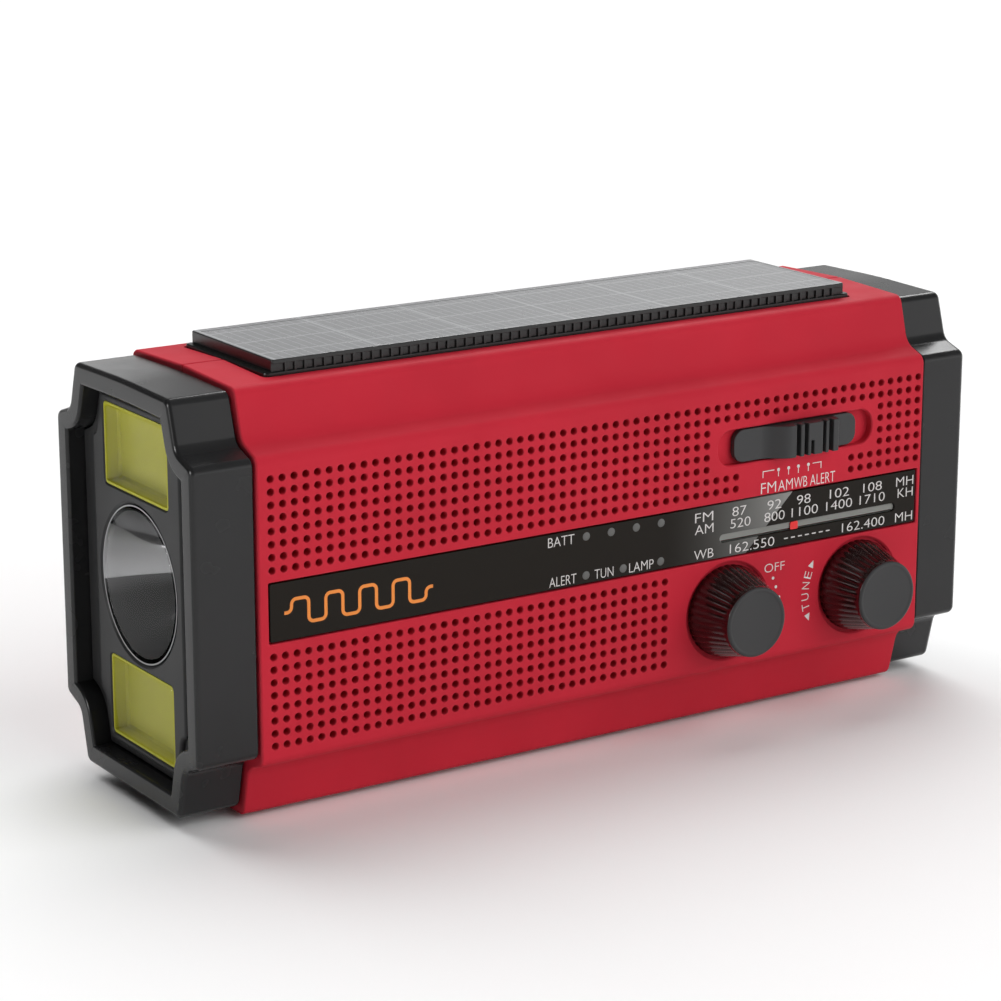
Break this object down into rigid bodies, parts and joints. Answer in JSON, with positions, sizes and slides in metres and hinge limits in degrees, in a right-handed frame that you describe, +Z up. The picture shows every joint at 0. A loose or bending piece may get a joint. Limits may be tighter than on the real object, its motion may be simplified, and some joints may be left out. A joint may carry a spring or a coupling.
{
  "type": "emergency radio",
  "caption": "Portable emergency radio with a solar panel, folding dynamo crank, torch, two lamps, tuning dial and telescopic antenna.",
  "frame": {"origin": "centre of the bounding box's bottom face, on the surface that the foot pads stand on", "axes": "+X along the case towards the closed bumper, with the torch end at -X; +Y towards the rear panel, with the dial and the knobs at -Y; +Z up"},
  "size_m": [0.166, 0.069, 0.079],
  "materials": {
    "red_shell": "satin moulded",
    "black_bumper": "satin moulded",
    "bezel_grey": "satin moulded",
    "chrome_bowl": "vacuum plated",
    "clear_lens": "clear moulded",
    "lamp_phosphor": "satin",
    "knob_black": "gloss moulded",
    "dial_dark": "gloss with printed scale",
    "pointer_red": "moulded",
    "solar_frame_black": "satin moulded",
    "solar_cell_dark": "laminated",
    "steel": "plain",
    "brass": "turned",
    "nylon": "natural",
    "circuit_board": "solder mask",
    "speaker_paper": "paper",
    "cell_wrap": "heat-shrink wrap",
    "antenna_chrome": "plated",
    "rubber": "matt"
  },
  "bodies": {
    "case": {"front_shell": "red_shell", "rear_shell": "red_shell", "torch_bumper": "black_bumper", "end_bumper": "black_bumper", "lamp_bezel": "bezel_grey", "torch_reflector": "chrome_bowl", "torch_lens": "clear_lens", "torch_led_board": "circuit_board", "upper_lamp_panel": "lamp_phosphor", "lower_lamp_panel": "lamp_phosphor", "upper_lamp_lens": "clear_lens", "lower_lamp_lens": "clear_lens", "solar_frame": "solar_frame_black", "solar_cell": "solar_cell_dark", "dial_window": "dial_dark", "dial_cord": "nylon", "tuning_control": "nylon", "volume_control": "steel", "band_switch": "steel", "indicator_board": "circuit_board", "speaker_frame": "steel", "speaker_cone": "speaker_paper", "speaker_magnet": "steel", "main_board": "circuit_board", "lithium_cell": "cell_wrap", "dynamo_motor": "steel", "gearbox_plate": "steel", "charging_port": "steel", "usb_port": "steel", "aaa_cell_1": "cell_wrap", "aaa_cell_2": "cell_wrap", "aaa_cell_3": "cell_wrap", "case_screw_1": "steel", "case_screw_2": "steel", "case_screw_3": "steel", "case_screw_4": "steel", "foot_pad_left": "rubber", "foot_pad_right": "rubber"},
    "volume": {"volume_knob": "knob_black", "volume_spindle": "steel"},
    "tuning": {"tuning_knob": "knob_black", "tuning_spindle": "brass"},
    "pointer": {"dial_pointer": "pointer_red"},
    "left_pulley": {"cord_pulley_left": "nylon"},
    "right_pulley": {"cord_pulley_right": "nylon"},
    "band": {"band_slider": "black_bumper"},
    "crank": {"crank_arm": "black_bumper", "crank_gear": "nylon"},
    "cluster": {"gear_cluster": "nylon"},
    "dynamo": {"dynamo_pinion": "brass"},
    "grip_fold": {"grip_yoke": "steel"},
    "grip": {"crank_grip": "black_bumper"},
    "antenna_swivel": {"antenna_yoke": "steel"},
    "antenna_root": {"antenna_tube_1": "antenna_chrome"},
    "antenna_middle": {"antenna_tube_2": "antenna_chrome"},
    "antenna_top": {"antenna_tube_3": "antenna_chrome"},
    "port_flap": {"port_cover": "rubber"},
    "battery_flap": {"battery_door": "red_shell"},
    "lamp_key": {"lamp_button": "rubber"},
    "sos_key": {"sos_button": "rubber"}
  },
  "joints": [
    {"name": "crank_spin", "type": "hinge", "parent": "case", "child": "crank", "pos_m": [-0.026, 0.028, 0.0388], "axis": [0, 1, 0], "continuous": true},
    {"name": "cluster_spin", "type": "hinge", "parent": "case", "child": "cluster", "pos_m": [-0.01129, 0.017, 0.02409], "axis": [0, 1, 0], "continuous": true},
    {"name": "dynamo_spin", "type": "hinge", "parent": "case", "child": "dynamo", "pos_m": [0.00791, 0.014, 0.02409], "axis": [0, 1, 0], "continuous": true},
    {"name": "grip_fold", "type": "hinge", "parent": "crank", "child": "grip_fold", "pos_m": [-0.061, 0.0306, 0.0388], "axis": [0, 0, 1], "range_deg": [0, 90]},
    {"name": "grip_spin", "type": "hinge", "parent": "grip_fold", "child": "grip", "pos_m": [-0.05, 0.0306, 0.0388], "axis": [1, 0, 0], "continuous": true},
    {"name": "volume_turn", "type": "hinge", "parent": "case", "child": "volume", "pos_m": [0.0269, -0.03, 0.0231], "axis": [0, 1, 0], "range_deg": [0, 270]},
    {"name": "tuning_turn", "type": "hinge", "parent": "case", "child": "tuning", "pos_m": [0.0576, -0.03, 0.0231], "axis": [0, 1, 0], "range_deg": [-122, 176]},
    {"name": "pointer_slide", "type": "slide", "parent": "case", "child": "pointer", "axis": [1, 0, 0], "range_m": [-0.0156, 0.0225]},
    {"name": "left_pulley_spin", "type": "hinge", "parent": "case", "child": "left_pulley", "pos_m": [0.0215, -0.0196, 0.0335], "axis": [0, 1, 0], "range_deg": [-300, 430]},
    {"name": "right_pulley_spin", "type": "hinge", "parent": "case", "child": "right_pulley", "pos_m": [0.0655, -0.0196, 0.0335], "axis": [0, 1, 0], "range_deg": [-300, 430]},
    {"name": "band_slide", "type": "slide", "parent": "case", "child": "band", "axis": [1, 0, 0], "range_m": [-0.0036, 0.0036]},
    {"name": "antenna_swivel", "type": "hinge", "parent": "case", "child": "antenna_swivel", "pos_m": [0.066, 0.0234, 0.069], "axis": [0, 0, -1], "range_deg": [0, 90]},
    {"name": "antenna_tilt", "type": "hinge", "parent": "antenna_swivel", "child": "antenna_root", "pos_m": [0.066, 0.0234, 0.0712], "axis": [0, 1, 0], "range_deg": [0, 90]},
    {"name": "antenna_extend_1", "type": "slide", "parent": "antenna_root", "child": "antenna_middle", "axis": [-1, 0, 0], "range_m": [0, 0.092]},
    {"name": "antenna_extend_2", "type": "slide", "parent": "antenna_middle", "child": "antenna_top", "axis": [-1, 0, 0], "range_m": [0, 0.092]},
    {"name": "port_cover_hinge", "type": "hinge", "parent": "case", "child": "port_flap", "pos_m": [0.04, 0.0256, 0.0504], "axis": [-1, 0, 0], "range_deg": [0, 110]},
    {"name": "battery_door_hinge", "type": "hinge", "parent": "case", "child": "battery_flap", "pos_m": [0.042, 0.0256, 0.0125], "axis": [-1, 0, 0], "range_deg": [0, 100]},
    {"name": "lamp_button_press", "type": "slide", "parent": "case", "child": "lamp_key", "axis": [0, -1, 0], "range_m": [0, 0.001], "stiffness_N_per_m": 400},
    {"name": "sos_button_press", "type": "slide", "parent": "case", "child": "sos_key", "axis": [0, -1, 0], "range_m": [0, 0.001], "stiffness_N_per_m": 400}
  ],
  "couplings": [
    {"joint": "cluster_spin", "follows": "crank_spin", "ratio": -3.3333},
    {"joint": "dynamo_spin", "follows": "crank_spin", "ratio": 10},
    {"joint": "pointer_slide", "follows": "tuning_turn", "m_per_rad": 0.00726},
    {"joint": "left_pulley_spin", "follows": "tuning_turn", "ratio": 2.42},
    {"joint": "right_pulley_spin", "follows": "tuning_turn", "ratio": 2.42}
  ]
}
